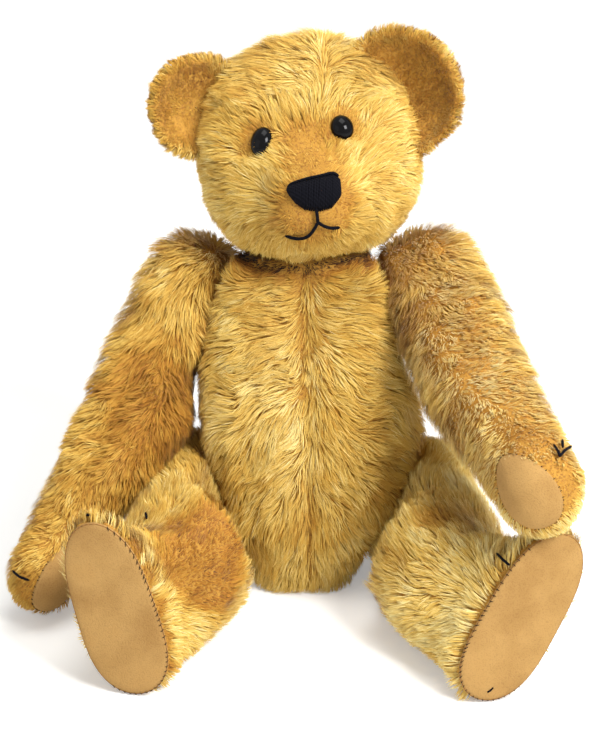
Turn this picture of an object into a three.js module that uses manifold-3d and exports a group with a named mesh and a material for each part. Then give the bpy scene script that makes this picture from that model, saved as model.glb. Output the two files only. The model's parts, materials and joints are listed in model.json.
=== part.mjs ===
// Worn mohair teddy bear with five disc joints, as it sits. Millimetres, +Z up, the bear faces -Y.
// The origin is on the flat it sits on. "left" and "right" are the bear's own, so left is +X.
import * as THREE from "three";
import { mergeVertices } from "three/addons/utils/BufferGeometryUtils.js";
import Module from "manifold-3d";

const wasm = await Module();
wasm.setup();

// Cloth, felt and clearances
const clothWall = 2;
const feltThickness = 2.4;
const seamGap = 0.3;
const fitGap = 0.3;
const jointGap = 0.6;

// Body: a barrel that leans back and turns a little to the bear's right.
// Rows are share of the height, middle, half width, front, back.
const torsoLean = 9.5;
const torsoTurn = 5;
const torsoHeight = 169;
const torsoFullness = 2.4;
const torsoSeatRound = 22;
const torsoNeckRound = 16;
const torsoRows = [
  [0.047, 2, 33, 39, 36],
  [0.166, 3, 47, 47, 43],
  [0.308, 5, 58, 51, 46],
  [0.462, 5, 59.5, 52, 46],
  [0.639, 3, 57, 48, 44],
  [0.793, 1, 54.5, 42, 41],
  [0.899, 0, 49.5, 37, 38],
  [0.982, 0, 43, 33, 34],
];
const bodySeamAtSeat = 8;
const bodySeamAtNeck = 1;

// Head: rows run from the muzzle to the back of the head as
// distance behind the centre, middle height, half width, below, above.
const headFullness = 2.25;
const muzzleRound = 11;
const backOfHeadRound = 18;
const headRows = [
  [-51, -21, 19.5, 17, 17],
  [-43, -21, 23, 20, 20],
  [-35, -18, 30, 25, 26],
  [-27, -12, 40, 34, 36],
  [-17, -6, 48, 45, 47],
  [-3, -1, 53, 54, 55],
  [11, 0, 54, 57, 56.5],
  [25, 0, 51, 56, 54],
  [36, 0, 43.5, 49.5, 46],
];
const headRise = 52;
const headForward = 12;
const headAside = 5.5;
const headNod = 11;
const headRoll = 10;
const neckSideTilt = 4;
const neckBackTilt = 10;
// Rows are distance behind the centre and half width of the gusset over the nose and crown.
const gussetRows = [
  [-66, 7],
  [-40, 12],
  [-18, 25],
  [12, 29],
  [40, 17],
  [60, 12],
];
const gussetAtNose = -10;
const gussetAtNape = -34;

// Face
const eyeSpacing = 39;
const eyesAside = -1.4;
const eyeHeight = 11;
const eyeRadius = 5.2;
const eyeStandOut = 0.8;
const noseWidth = 25;
const noseFootWidth = 9;
const noseHeight = 16;
const noseCentreHeight = -14;
const nosePile = 2.2;
const mouthThread = 1.7;
const mouthDrop = 4.5;
const mouthHalfWidth = 13.5;
const mouthCornerDrop = 3.5;
const mouthAside = -1;

// Ears: cupped round pieces of two layers, set into the side of the head
const earRadius = { left: 31, right: 24 };
const earLayer = 2.6;
const earCupRadius = 46;
const earStandOff = { left: 2, right: 6 };
const earBehindCentre = 4;
const earTurn = 16;
const earAngle = { left: 22, right: 31 };

// Arms: rows are distance from the shoulder, outward, forward, half thickness, front, back.
// The stuffing has settled, so one arm is plumper than the other.
const armFullness = 2.3;
const armPlumpness = { left: 1.1, right: 0.93 };
const shoulderRound = 18;
const pawRound = 18;
const armRows = [
  [-4, 18.3, 0, 24, 25, 25],
  [30, 19.5, 0, 23, 25.5, 25],
  [70, 19.5, 0.5, 21.5, 24, 24],
  [110, 19.5, 2, 19.5, 21.5, 21.5],
  [140, 19, 4, 18.5, 20, 20.5],
  [166, 18.5, 6, 18, 20, 19.5],
];
const shoulderBelowNeck = 29;
const shoulderForward = 4;
const shoulderInset = 13;
const shoulderRise = { left: 14, right: 16 };
const shoulderSweep = 18.5;
const armSwing = { left: 74, right: 39 };
const pawPadLength = 48;

// Legs: rows are distance from the hip, outward, forward, half thickness, front, back, share of the
// foot's twist. Beyond the body a leg swells inwards, past the plane that it turns in.
const legFullness = 2.45;
const thighRound = 24;
const legRows = [
  [-8, 20, 0, 24.5, 30, 33, 0],
  [25, 17, 0, 24, 29, 35, 0],
  [58, 10, 0, 29, 27, 37, 0.1],
  [88, 11.5, 0, 29.5, 24, 37, 0.4],
  [106, 15.5, 0, 25.5, 26, 36, 0.8],
  [118, 20.5, 0, 20.8, 36, 34, 1],
  [128, 22, 0, 20, 50, 35.5, 1],
  [138, 22, 0, 20, 56, 36.5, 1],
];
const thighSwellAt = 54;
const thighSwellSlope = 35;
const footTwist = { left: 0, right: 6 };
const solePadInset = 1;
const hipHeight = 45;
const hipForward = 12.4;
const hipInset = 15.5;
const hipSplay = { left: 20, right: 6.5 };
const hipTuck = { left: 27, right: 20 };
const heelClearance = 0.1;

// Joint hardware
const discThickness = 3;
const washerRadius = 7;
const washerThickness = 1;
const pinRadius = 1.2;
const pinWire = 0.8;
const pinCurl = 3;
const pinRunningGap = 0.4;
const discRadius = { neck: 20, shoulder: 13.5, hip: 15.5 };

// How finely the skins are faceted
const bodySides = 18;
const limbSides = 14;
const domeRings = 2;
const stuffingRecessGap = 0.6;

const DEG = Math.PI / 180;
const SIDES = { left: 1, right: -1 };
const bodyRings = 7;
const limbRings = 7;
const headRings = 8;
const far = 400;

const material = (color, roughness, metalness = 0) =>
  new THREE.MeshStandardMaterial({ color, roughness, metalness });
const mohair = material(0xd9b876, 0.95);
const clippedMohair = material(0xcf9f5c, 0.95);
const felt = material(0xc9a274, 1);
const woodWool = material(0xd8c08a, 1);
const board = material(0x8a6b48, 0.9);
const steel = material(0x9a9a98, 0.45, 0.9);
const thread = material(0x14141c, 0.75);
const glass = material(0x08080a, 0.08);

// A smooth curve through rows of a position and its sizes
function smooth(rows) {
  const last = rows.length - 1;
  const slope = (i, k) => {
    const a = rows[Math.max(i - 1, 0)];
    const b = rows[Math.min(i + 1, last)];
    return (b[k] - a[k]) / (b[0] - a[0]);
  };
  return (t) => {
    let i = 0;
    while (i < last - 1 && t > rows[i + 1][0]) i++;
    const length = rows[i + 1][0] - rows[i][0];
    const u = THREE.MathUtils.clamp((t - rows[i][0]) / length, 0, 1);
    const w = u * u * (3 - 2 * u);
    const leave = u * (1 - u) * (1 - u) * length;
    const arrive = u * u * (u - 1) * length;
    return rows[i].slice(1).map((value, k) => {
      const reach = w * (rows[i + 1][k + 1] - value);
      return value + reach + leave * slope(i, k + 1) + arrive * slope(i + 1, k + 1);
    });
  };
}

const powered = (value, power) => Math.sign(value) * Math.abs(value) ** (2 / power);

// A closed skin of rings along +Z. at(t) gives a ring's middle x, middle y, half width, its reach
// towards +Y and its reach towards -Y. A round of 0 leaves that end flat. grow moves the skin outwards.
function skin(form, grow = 0) {
  const { rows, at, startRound, endRound, endReach = 0 } = form;
  const { sides, rings, fullness, mirror = 1 } = form;
  const start = rows[0][0];
  const end = rows[rows.length - 1][0];
  const stops = [];
  if (startRound) {
    for (let i = domeRings; i > 0; i--) {
      const angle = (i / (domeRings + 1)) * (Math.PI / 2);
      stops.push([start, start - (startRound + grow) * Math.sin(angle), Math.cos(angle)]);
    }
  }
  for (let i = 0; i <= rings; i++) {
    const t = start + ((end - start) * i) / rings;
    stops.push([t, t, 1]);
  }
  if (endRound) {
    for (let i = 1; i <= domeRings; i++) {
      const angle = (i / (domeRings + 1)) * (Math.PI / 2);
      stops.push([end, end + (endRound + grow) * Math.sin(angle), Math.cos(angle)]);
    }
  } else if (endReach) {
    stops.push([end, end + endReach, 1]);
  }
  const points = [];
  for (const [t, z, scale] of stops) {
    const [middleX, middleY, width, front, back, twist = 0] = at(t);
    for (let j = 0; j < sides; j++) {
      const angle = (2 * Math.PI * j) / sides;
      const reach = Math.sin(angle) > 0 ? front : back;
      const x = powered(Math.cos(angle), fullness) * (width + grow) * scale;
      const y = powered(Math.sin(angle), fullness) * (reach + grow) * scale;
      const [across, along] = [Math.cos(twist), Math.sin(twist)];
      points.push(mirror * (middleX + x * across - y * along), middleY + x * along + y * across, z);
    }
  }
  const poleAt = (t, z) => {
    const [middleX, middleY] = at(t);
    points.push(mirror * middleX, middleY, z);
  };
  poleAt(start, startRound ? start - startRound - grow : start);
  poleAt(end, endRound ? end + endRound + grow : end + endReach);
  const startPole = stops.length * sides;
  const faces = [];
  const face = (a, b, c) => faces.push(...(mirror > 0 ? [a, b, c] : [a, c, b]));
  for (let j = 0; j < sides; j++) {
    const k = (j + 1) % sides;
    face(startPole, k, j);
    for (let i = 0; i < stops.length - 1; i++) {
      const [a, b] = [i * sides + j, i * sides + k];
      face(a, b, b + sides);
      face(a, b + sides, a + sides);
    }
    const top = (stops.length - 1) * sides;
    face(top + j, top + k, startPole + 1);
  }
  const geometry = new THREE.BufferGeometry();
  geometry.setAttribute("position", new THREE.Float32BufferAttribute(points, 3));
  geometry.setIndex(faces);
  return geometry;
}

// Solids for cutting and joining
function solid(geometry) {
  const bare = geometry.clone();
  bare.deleteAttribute("normal");
  bare.deleteAttribute("uv");
  const merged = mergeVertices(bare, 1e-4);
  return new wasm.Manifold(
    new wasm.Mesh({
      numProp: 3,
      vertProperties: new Float32Array(merged.attributes.position.array),
      triVerts: new Uint32Array(merged.index.array),
    }),
  );
}

function geometryOf(cut) {
  const mesh = cut.getMesh();
  const geometry = new THREE.BufferGeometry();
  geometry.setAttribute("position", new THREE.BufferAttribute(mesh.vertProperties, 3));
  geometry.setIndex(new THREE.BufferAttribute(mesh.triVerts, 1));
  return geometry;
}

const bear = new THREE.Group();

function addMesh(group, name, cut, look) {
  const mesh = new THREE.Mesh(cut.isBufferGeometry ? cut : geometryOf(cut), look);
  mesh.name = name;
  group.add(mesh);
}

// A plane has a point and a unit normal. keepBehind leaves what lies at least depth behind it.
const keepBehind = (cut, plane, depth) =>
  cut.trimByPlane(
    plane.normal.clone().negate().toArray(),
    depth - plane.point.dot(plane.normal),
  );
const keepAhead = (cut, plane, depth) =>
  cut.trimByPlane(plane.normal.toArray(), depth + plane.point.dot(plane.normal));

const movedPlane = (plane, matrix) => ({
  point: plane.point.clone().applyMatrix4(matrix),
  normal: plane.normal.clone().transformDirection(matrix),
});

const planeAt = (point, normal) => ({
  point: new THREE.Vector3(...point),
  normal: new THREE.Vector3(...normal).normalize(),
});

// A group whose +Z is the given direction and whose +X is as near as it can be to sideways
function placedGroup(origin, xAxis, zAxis) {
  const group = new THREE.Group();
  const yAxis = new THREE.Vector3().crossVectors(zAxis, xAxis).normalize();
  const basis = new THREE.Matrix4().makeBasis(xAxis, yAxis, zAxis);
  group.quaternion.setFromRotationMatrix(basis);
  group.position.copy(origin);
  group.updateMatrixWorld(true);
  bear.add(group);
  return group;
}

// A round bar along the plane's normal, from one depth to another, in the plane's own frame
function barAlong(plane, radius, from, to, segments = 16) {
  const bar = new THREE.CylinderGeometry(radius, radius, to - from, segments);
  bar.translate(0, (from + to) / 2, 0);
  const turn = new THREE.Quaternion().setFromUnitVectors(
    new THREE.Vector3(0, 1, 0),
    plane.normal,
  );
  bar.applyQuaternion(turn);
  bar.translate(...plane.point.toArray());
  return solid(bar);
}

// Depths of the joint's stack, counted from the middle of the gap between the two covers
const coverFace = jointGap / 2;
const coverInside = coverFace + clothWall;
const discNear = coverInside + fitGap;
const discFar = discNear + discThickness;
const washerNear = discFar + fitGap;
const washerFar = washerNear + washerThickness;
const pinTurn = washerFar + fitGap + pinWire;
const pinRoom = pinTurn + 2 * pinCurl + pinWire + fitGap;
const pinHole = pinRadius + pinRunningGap;

// The stuffing keeps clear of the discs, the washers and the pin's ends.
function recessed(stuffing, plane, radius, towards) {
  const wide = barAlong(
    plane,
    radius + stuffingRecessGap,
    towards < 0 ? -washerNear : 0,
    towards < 0 ? 0 : washerNear,
  );
  const narrow = barAlong(
    plane,
    washerRadius + stuffingRecessGap,
    towards < 0 ? -pinRoom : 0,
    towards < 0 ? 0 : pinRoom,
  );
  return stuffing.subtract(wide).subtract(narrow);
}

function ring(inner, outer, thickness, segments) {
  const half = thickness / 2;
  const profile = [
    new THREE.Vector2(inner, -half),
    new THREE.Vector2(outer, -half),
    new THREE.Vector2(outer, half),
    new THREE.Vector2(inner, half),
    new THREE.Vector2(inner, -half),
  ];
  const geometry = new THREE.LatheGeometry(profile, segments);
  return geometry.rotateX(Math.PI / 2);
}

// A split pin: an eye on the limb's side, and two legs curled over on the body's side
function splitPin() {
  const circle = new THREE.Shape().absarc(0, 0, pinWire, 0, 2 * Math.PI);
  let pin = solid(
    new THREE.CylinderGeometry(pinRadius, pinRadius, 2 * pinTurn, 8).rotateX(Math.PI / 2),
  );
  const eye = new THREE.TorusGeometry(pinCurl - pinWire, pinWire, 5, 10);
  eye.rotateY(Math.PI / 2).translate(0, 0, pinTurn + pinCurl - pinWire);
  pin = pin.add(solid(eye));
  for (const way of [-1, 1]) {
    const curl = new THREE.CubicBezierCurve3(
      new THREE.Vector3(0, 0, -pinTurn + pinWire),
      new THREE.Vector3(way * pinCurl * 0.3, 0, -pinTurn - 2 * pinCurl),
      new THREE.Vector3(way * pinCurl * 2, 0, -pinTurn - 2 * pinCurl),
      new THREE.Vector3(way * pinCurl * 1.7, 0, -pinTurn - pinWire / 2),
    );
    const leg = new THREE.ExtrudeGeometry(circle, {
      steps: 4,
      curveSegments: 3,
      extrudePath: curl,
    });
    pin = pin.add(solid(leg));
  }
  return pin;
}

// Both discs, both washers and the pin of one joint, on the joint's axis
function addJointHardware(name, worldPlane, radius) {
  const sideways = new THREE.Vector3(0, -1, 0)
    .addScaledVector(worldPlane.normal, worldPlane.normal.y)
    .normalize();
  const group = placedGroup(worldPlane.point, sideways, worldPlane.normal);
  const disc = ring(pinHole, radius, discThickness, 14);
  const washer = ring(pinHole, washerRadius, washerThickness, 8);
  for (const [side, way] of [
    ["body", -1],
    ["outer", 1],
  ]) {
    const discAt = (way * (discNear + discFar)) / 2;
    const washerAt = (way * (washerNear + washerFar)) / 2;
    addMesh(group, `${name}_${side}_disc`, disc.clone().translate(0, 0, discAt), board);
    addMesh(group, `${name}_${side}_washer`, washer.clone().translate(0, 0, washerAt), steel);
  }
  addMesh(group, `${name}_split_pin`, splitPin(), steel);
}

// Splits a cover along a plane into two panels with the seam's gap between them.
const splitAlong = (cover, plane) => [
  keepAhead(cover, plane, seamGap / 2),
  keepBehind(cover, plane, seamGap / 2),
];

// Body frame and the five joint planes, in the world
const torsoGroup = new THREE.Group();
torsoGroup.rotation.set(-torsoLean * DEG, 0, -torsoTurn * DEG, "ZYX");
torsoGroup.updateMatrixWorld(true);
bear.add(torsoGroup);
const torsoRings = torsoRows.map(([share, ...sizes]) => [share * torsoHeight, ...sizes]);
const torsoAt = smooth(torsoRings);
const shoulderHeight = torsoHeight - shoulderBelowNeck;
const inTorso = new THREE.Matrix4().copy(torsoGroup.matrixWorld).invert();
const fromTorso = (x, y, z) => new THREE.Vector3(x, y, z).applyMatrix4(torsoGroup.matrixWorld);
const turned = (vector) => vector.applyAxisAngle(new THREE.Vector3(0, 0, 1), -torsoTurn * DEG);

const neckPlane = {
  point: fromTorso(0, 0, torsoHeight),
  normal: new THREE.Vector3(
    -Math.sin(neckSideTilt * DEG),
    Math.sin(neckBackTilt * DEG) * Math.cos(neckSideTilt * DEG),
    Math.cos(neckBackTilt * DEG) * Math.cos(neckSideTilt * DEG),
  ),
};

function shoulderPlane(side) {
  const out = SIDES[side];
  const [middle, halfWidth] = torsoAt(shoulderHeight);
  const across = middle + out * (halfWidth - shoulderInset);
  const [rise, sweep] = [shoulderRise[side] * DEG, shoulderSweep * DEG];
  return {
    point: fromTorso(across, -shoulderForward, shoulderHeight),
    normal: turned(
      new THREE.Vector3(
        out * Math.cos(rise) * Math.cos(sweep),
        Math.cos(rise) * Math.sin(sweep),
        Math.sin(rise),
      ),
    ),
  };
}

function hipPlane(side) {
  const out = SIDES[side];
  const [splay, tuck] = [hipSplay[side] * DEG, hipTuck[side] * DEG];
  const [middle, halfWidth] = torsoAt(hipHeight);
  return {
    point: fromTorso(middle + out * (halfWidth - hipInset), -hipForward, hipHeight),
    normal: turned(
      new THREE.Vector3(
        out * Math.cos(splay) * Math.cos(tuck),
        Math.sin(splay) * Math.cos(tuck),
        -Math.sin(tuck),
      ),
    ),
  };
}

// Body cover and stuffing
function addTorso() {
  const form = {
    rows: torsoRings,
    at: (t) => {
      const [middle, width, front, back] = torsoAt(t);
      return [middle, 0, width, back, front];
    },
    startRound: torsoSeatRound,
    endRound: torsoNeckRound,
    sides: bodySides,
    rings: bodyRings,
    fullness: torsoFullness,
  };
  const joints = [
    [neckPlane, discRadius.neck],
    [shoulderPlane("left"), discRadius.shoulder],
    [shoulderPlane("right"), discRadius.shoulder],
    [hipPlane("left"), discRadius.hip],
    [hipPlane("right"), discRadius.hip],
  ].map(([plane, radius]) => [movedPlane(plane, inTorso), radius]);
  const seatPlane = movedPlane(planeAt([0, 0, 0], [0, 0, -1]), inTorso);

  const trimmed = (grow, depth, seatDepth) => {
    let cut = keepBehind(solid(skin(form, grow)), seatPlane, seatDepth);
    for (const [plane] of joints) cut = keepBehind(cut, plane, depth);
    return cut;
  };
  let cover = trimmed(0, coverFace, 0);
  cover = cover.subtract(trimmed(-clothWall, coverInside, clothWall));
  for (const [plane] of joints) {
    cover = cover.subtract(barAlong(plane, pinHole, -discNear, 0, 10));
  }
  const seam = planeAt(
    [bodySeamAtSeat, 0, 0],
    [torsoHeight, 0, bodySeamAtSeat - bodySeamAtNeck],
  );
  const [left, right] = splitAlong(cover, seam);
  addMesh(torsoGroup, "body_panel_left", left, mohair);
  addMesh(torsoGroup, "body_panel_right", right, mohair);

  const inside = clothWall + fitGap;
  let stuffing = trimmed(-inside, coverInside + fitGap, inside);
  for (const [plane, radius] of joints) stuffing = recessed(stuffing, plane, radius, -1);
  addMesh(torsoGroup, "body_stuffing", stuffing, woodWool);
}

// Head frame: -Y is where the face looks, +Z its crown
const headGroup = new THREE.Group();
headGroup.position
  .copy(neckPlane.point)
  .addScaledVector(neckPlane.normal, headRise)
  .add(new THREE.Vector3(headAside, -headForward, 0));
headGroup.quaternion
  .setFromAxisAngle(new THREE.Vector3(1, 0, 0), -headNod * DEG)
  .multiply(
    new THREE.Quaternion().setFromAxisAngle(new THREE.Vector3(0, 1, 0), -headRoll * DEG),
  );
headGroup.updateMatrixWorld(true);
bear.add(headGroup);
const headAt = smooth(headRows);

const headForm = {
  rows: headRows,
  at: (t) => {
    const [middle, width, below, above] = headAt(t);
    return [0, -middle, width, below, above];
  },
  startRound: muzzleRound,
  endRound: backOfHeadRound,
  sides: bodySides,
  rings: headRings,
  fullness: headFullness,
};
const headSolid = (grow) => solid(skin(headForm, grow).rotateX(-Math.PI / 2));

// How far ahead of the head's centre the skin lies, over a point of the face
function faceDepth(x, z) {
  const start = headRows[0][0];
  for (let t = start; t < 0; t += 0.25) {
    const [middle, width, below, above] = headAt(t);
    const high = (z - middle) / (z > middle ? above : below);
    if (Math.abs(x / width) ** headFullness + Math.abs(high) ** headFullness < 1) return t;
  }
  return 0;
}

// A piece of a shell over the face: what lies between two skins, inside an outline seen from ahead
function facePiece(outline, aside, under, over) {
  const prism = new THREE.ExtrudeGeometry(outline, {
    depth: far,
    bevelEnabled: false,
    curveSegments: 4,
  });
  prism.rotateX(Math.PI / 2).translate(aside, 0, 0);
  return headSolid(over).subtract(headSolid(under)).intersect(solid(prism));
}

function addHead() {
  const plane = movedPlane(neckPlane, headGroup.matrixWorld.clone().invert());
  let cover = keepAhead(headSolid(0), plane, coverFace);
  cover = cover.subtract(keepAhead(headSolid(-clothWall), plane, coverInside));
  cover = cover.subtract(barAlong(plane, pinHole, 0, discNear, 10));

  const gussetOutline = (grow) => {
    const rightEdge = gussetRows.map(([y, x]) => new THREE.Vector2(x + grow, y));
    const leftEdge = gussetRows.map(([y, x]) => new THREE.Vector2(-x - grow, y)).reverse();
    const block = new THREE.ExtrudeGeometry(new THREE.Shape([...rightEdge, ...leftEdge]), {
      depth: 2 * far,
      bevelEnabled: false,
    });
    return solid(block.translate(0, 0, -far));
  };
  const [front, back] = [gussetRows[0][0], gussetRows[gussetRows.length - 1][0]];
  const lower = planeAt(
    [0, front, gussetAtNose],
    [0, gussetAtNose - gussetAtNape, back - front],
  );
  const gusset = keepAhead(cover.intersect(gussetOutline(-seamGap / 2)), lower, seamGap / 2);
  addMesh(headGroup, "head_gusset", gusset, mohair);
  const sides = cover.subtract(keepAhead(gussetOutline(seamGap / 2), lower, -seamGap / 2));
  const [left, right] = splitAlong(sides, planeAt([0, 0, 0], [1, 0, 0]));
  addMesh(headGroup, "head_panel_left", left, mohair);
  addMesh(headGroup, "head_panel_right", right, mohair);

  const inside = clothWall + fitGap;
  const stuffing = keepAhead(headSolid(-inside), plane, coverInside + fitGap);
  addMesh(headGroup, "head_stuffing", recessed(stuffing, plane, discRadius.neck, 1), woodWool);
}

function addFace() {
  const top = noseCentreHeight + noseHeight / 2;
  const foot = noseCentreHeight - noseHeight / 2;
  const nose = new THREE.Shape();
  nose.moveTo(-noseFootWidth / 2, foot);
  nose.quadraticCurveTo(0, foot - mouthThread, noseFootWidth / 2, foot);
  nose.lineTo(noseWidth / 2, top - noseHeight / 4);
  nose.quadraticCurveTo(noseWidth / 2, top, noseWidth / 4, top);
  nose.lineTo(-noseWidth / 4, top);
  nose.quadraticCurveTo(-noseWidth / 2, top, -noseWidth / 2, top - noseHeight / 4);
  addMesh(headGroup, "nose", facePiece(nose, 0, fitGap, nosePile), thread);

  const half = mouthThread / 2;
  const start = foot - mouthThread / 2 - fitGap;
  const fork = start - mouthDrop;
  const corner = fork - mouthCornerDrop;
  const mouth = new THREE.Shape();
  mouth.moveTo(half, start);
  mouth.lineTo(half, fork);
  mouth.quadraticCurveTo(mouthHalfWidth / 2, corner, mouthHalfWidth, corner);
  mouth.lineTo(mouthHalfWidth, corner - mouthThread);
  mouth.quadraticCurveTo(mouthHalfWidth / 2, corner - mouthThread, 0, fork - mouthThread);
  mouth.quadraticCurveTo(-mouthHalfWidth / 2, corner - mouthThread, -mouthHalfWidth, corner - mouthThread);
  mouth.lineTo(-mouthHalfWidth, corner);
  mouth.quadraticCurveTo(-mouthHalfWidth / 2, corner, -half, fork);
  mouth.lineTo(-half, start);
  const mouthPiece = facePiece(mouth, mouthAside, fitGap, mouthThread);
  addMesh(headGroup, "mouth_stitch", mouthPiece, thread);

  for (const [side, out] of Object.entries(SIDES)) {
    const x = eyesAside + (out * eyeSpacing) / 2;
    const ball = new THREE.SphereGeometry(eyeRadius, 12, 8);
    ball.translate(x, faceDepth(x, eyeHeight) - eyeStandOut, eyeHeight);
    addMesh(headGroup, `eye_${side}`, solid(ball).subtract(headSolid(fitGap)), glass);
  }
}

// One layer of a cupped ear, a shallow bowl about +Y with its hollow towards -Y
function earBowl(radius, nearRadius, farRadius) {
  const steps = 4;
  const profile = [];
  for (let i = 0; i <= steps; i++) {
    const angle = Math.asin(radius / nearRadius) * (i / steps);
    profile.push(new THREE.Vector2(nearRadius * Math.sin(angle), nearRadius * Math.cos(angle)));
  }
  for (let i = steps; i >= 0; i--) {
    const angle = Math.asin(radius / farRadius) * (i / steps);
    profile.push(new THREE.Vector2(farRadius * Math.sin(angle), farRadius * Math.cos(angle)));
  }
  profile[0].x = 0;
  profile[profile.length - 1].x = 0;
  return new THREE.LatheGeometry(profile, 20).translate(0, -earCupRadius, 0);
}

function addEars() {
  const head = headSolid(fitGap);
  const [, width, , above] = headAt(earBehindCentre);
  for (const [side, out] of Object.entries(SIDES)) {
    const angle = earAngle[side] * DEG;
    const place = new THREE.Vector3(
      out * (width + earStandOff[side]) * Math.cos(angle),
      earBehindCentre,
      (above + earStandOff[side]) * Math.sin(angle),
    );
    const layers = {
      front: [earCupRadius - earLayer - seamGap / 2, earCupRadius - seamGap / 2],
      back: [earCupRadius + seamGap / 2, earCupRadius + earLayer + seamGap / 2],
    };
    for (const [layer, [near, farSide]] of Object.entries(layers)) {
      const bowl = earBowl(earRadius[side], near, farSide);
      bowl.rotateZ(-out * earTurn * DEG).translate(...place.toArray());
      addMesh(headGroup, `ear_${side}_${layer}`, solid(bowl).subtract(head), mohair);
    }
  }
}

// Covers, pads and stuffing of a limb share one frame: +Z along the limb, +X to the bear's left,
// +Y the limb's front. The joint plane is x = 0.
function limbFrame(side, plane, along) {
  const sideways = plane.normal.clone().multiplyScalar(SIDES[side]);
  return placedGroup(plane.point, sideways, along);
}

function limbPlane(side) {
  return planeAt([0, 0, 0], [SIDES[side], 0, 0]);
}

function addArm(side) {
  const world = shoulderPlane(side);
  const down = new THREE.Vector3(0, 0, -1).addScaledVector(world.normal, world.normal.z).normalize();
  const forward = new THREE.Vector3()
    .crossVectors(world.normal, down)
    .multiplyScalar(SIDES[side]);
  const swing = armSwing[side] * DEG;
  const along = down.multiplyScalar(Math.cos(swing)).addScaledVector(forward, -Math.sin(swing));
  const group = limbFrame(side, world, along);
  const out = SIDES[side];
  const plane = limbPlane(side);
  const armAt = smooth(armRows);
  const form = {
    rows: armRows,
    at: (t) => armAt(t).map((size) => size * armPlumpness[side]),
    startRound: shoulderRound,
    endRound: pawRound,
    sides: limbSides,
    rings: limbRings,
    fullness: armFullness,
    mirror: out,
  };
  const trimmed = (grow, depth) => keepAhead(solid(skin(form, grow)), plane, depth);
  let cover = trimmed(0, coverFace).subtract(trimmed(-clothWall, coverInside));
  cover = cover.subtract(barAlong(plane, pinHole, 0, discNear, 10));
  const [middle] = form.at(0);
  const [outer, inner] = splitAlong(cover, planeAt([out * middle, 0, 0], [out, 0, 0]));
  const tip = armRows[armRows.length - 1][0] + pawRound;
  const padPlane = planeAt([0, 0, tip - pawPadLength], [0, 0, 1]);
  const [pad, innerPanel] = splitAlong(inner, padPlane);
  addMesh(group, `arm_${side}_outer_panel`, outer, mohair);
  addMesh(group, `arm_${side}_inner_panel`, innerPanel, mohair);
  addMesh(group, `paw_pad_${side}`, pad, felt);
  const stuffing = trimmed(-clothWall - fitGap, coverInside + fitGap);
  addMesh(group, `arm_${side}_stuffing`, recessed(stuffing, plane, discRadius.shoulder, 1), woodWool);
  addJointHardware(`shoulder_${side}`, world, discRadius.shoulder);
}

// The way a leg points when it swings down on its hip until its heel lies on the floor
function alongLyingLeg(side, hip, legSkin) {
  const splay = hipSplay[side] * DEG;
  const out = SIDES[side];
  const level = turned(new THREE.Vector3(out * Math.sin(splay), -Math.cos(splay), 0));
  const up = new THREE.Vector3().crossVectors(level, hip.normal).multiplyScalar(out);
  const sideways = hip.normal.clone().multiplyScalar(out);
  const pointing = (droop) =>
    level.clone().multiplyScalar(Math.cos(droop)).addScaledVector(up, -Math.sin(droop));
  const lowest = (droop) => {
    const along = pointing(droop);
    const front = new THREE.Vector3().crossVectors(along, sideways);
    const turned = legSkin.clone();
    turned.applyMatrix4(new THREE.Matrix4().makeBasis(sideways, front, along));
    turned.computeBoundingBox();
    return turned.boundingBox.min.z + hip.point.z;
  };
  let [raised, lowered] = [-Math.PI / 6, Math.PI / 6];
  for (let i = 0; i < 30; i++) {
    const middle = (raised + lowered) / 2;
    if (lowest(middle) > heelClearance) raised = middle;
    else lowered = middle;
  }
  return pointing(raised);
}

function addLeg(side) {
  const world = hipPlane(side);
  const out = SIDES[side];
  const plane = limbPlane(side);
  const legAt = smooth(legRows);
  const at = (t) => legAt(t).map((size, k) => (k < 5 ? size : size * footTwist[side] * DEG));
  const form = {
    rows: legRows,
    at,
    startRound: thighRound,
    endRound: 0,
    sides: limbSides,
    rings: limbRings,
    fullness: legFullness,
    mirror: out,
  };
  const group = limbFrame(side, world, alongLyingLeg(side, world, skin(form)));
  const soleAt = legRows[legRows.length - 1][0];
  const hollow = { ...form, endReach: clothWall };
  const [spread, climb] = [Math.sin(thighSwellSlope * DEG), Math.cos(thighSwellSlope * DEG)];
  const swell = planeAt([0, 0, thighSwellAt], [out * spread, 0, climb]);
  const trimmed = (legForm, grow, depth) => {
    const whole = solid(skin(legForm, grow));
    return keepAhead(whole, plane, depth).add(keepAhead(whole, swell, depth));
  };
  let cover = trimmed(form, 0, coverFace).subtract(trimmed(hollow, -clothWall, coverInside));
  cover = cover.subtract(barAlong(plane, pinHole, 0, discNear, 10));
  const [middle] = at(soleAt);
  const [outer, inner] = splitAlong(cover, planeAt([out * middle, 0, 0], [out, 0, 0]));
  addMesh(group, `leg_${side}_outer_panel`, outer, mohair);
  addMesh(group, `leg_${side}_inner_panel`, inner, mohair);
  const sole = {
    ...form,
    rows: [[soleAt + fitGap, ...at(soleAt)], [soleAt + fitGap + feltThickness, ...at(soleAt)]],
    at: () => at(soleAt),
    startRound: 0,
    rings: 1,
  };
  addMesh(group, `sole_pad_${side}`, solid(skin(sole, -solePadInset)), felt);
  const stuffing = trimmed(form, -clothWall - fitGap, coverInside + fitGap);
  addMesh(group, `leg_${side}_stuffing`, recessed(stuffing, plane, discRadius.hip, 1), woodWool);
  addJointHardware(`hip_${side}`, world, discRadius.hip);
}

addTorso();
addHead();
addFace();
addEars();
addJointHardware("neck", neckPlane, discRadius.neck);
for (const side of Object.keys(SIDES)) {
  addArm(side);
  addLeg(side);
}

export default bear;
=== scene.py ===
"""A worn mohair teddy bear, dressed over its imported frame. Metres, +Z up, the bear faces -Y.
"left" and "right" are the bear's own, so left is +X and the viewer's right."""
import json
import math

import bmesh
import bpy
import numpy as np
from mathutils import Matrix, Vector
from mathutils.bvhtree import BVHTree
from mathutils.kdtree import KDTree


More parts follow.
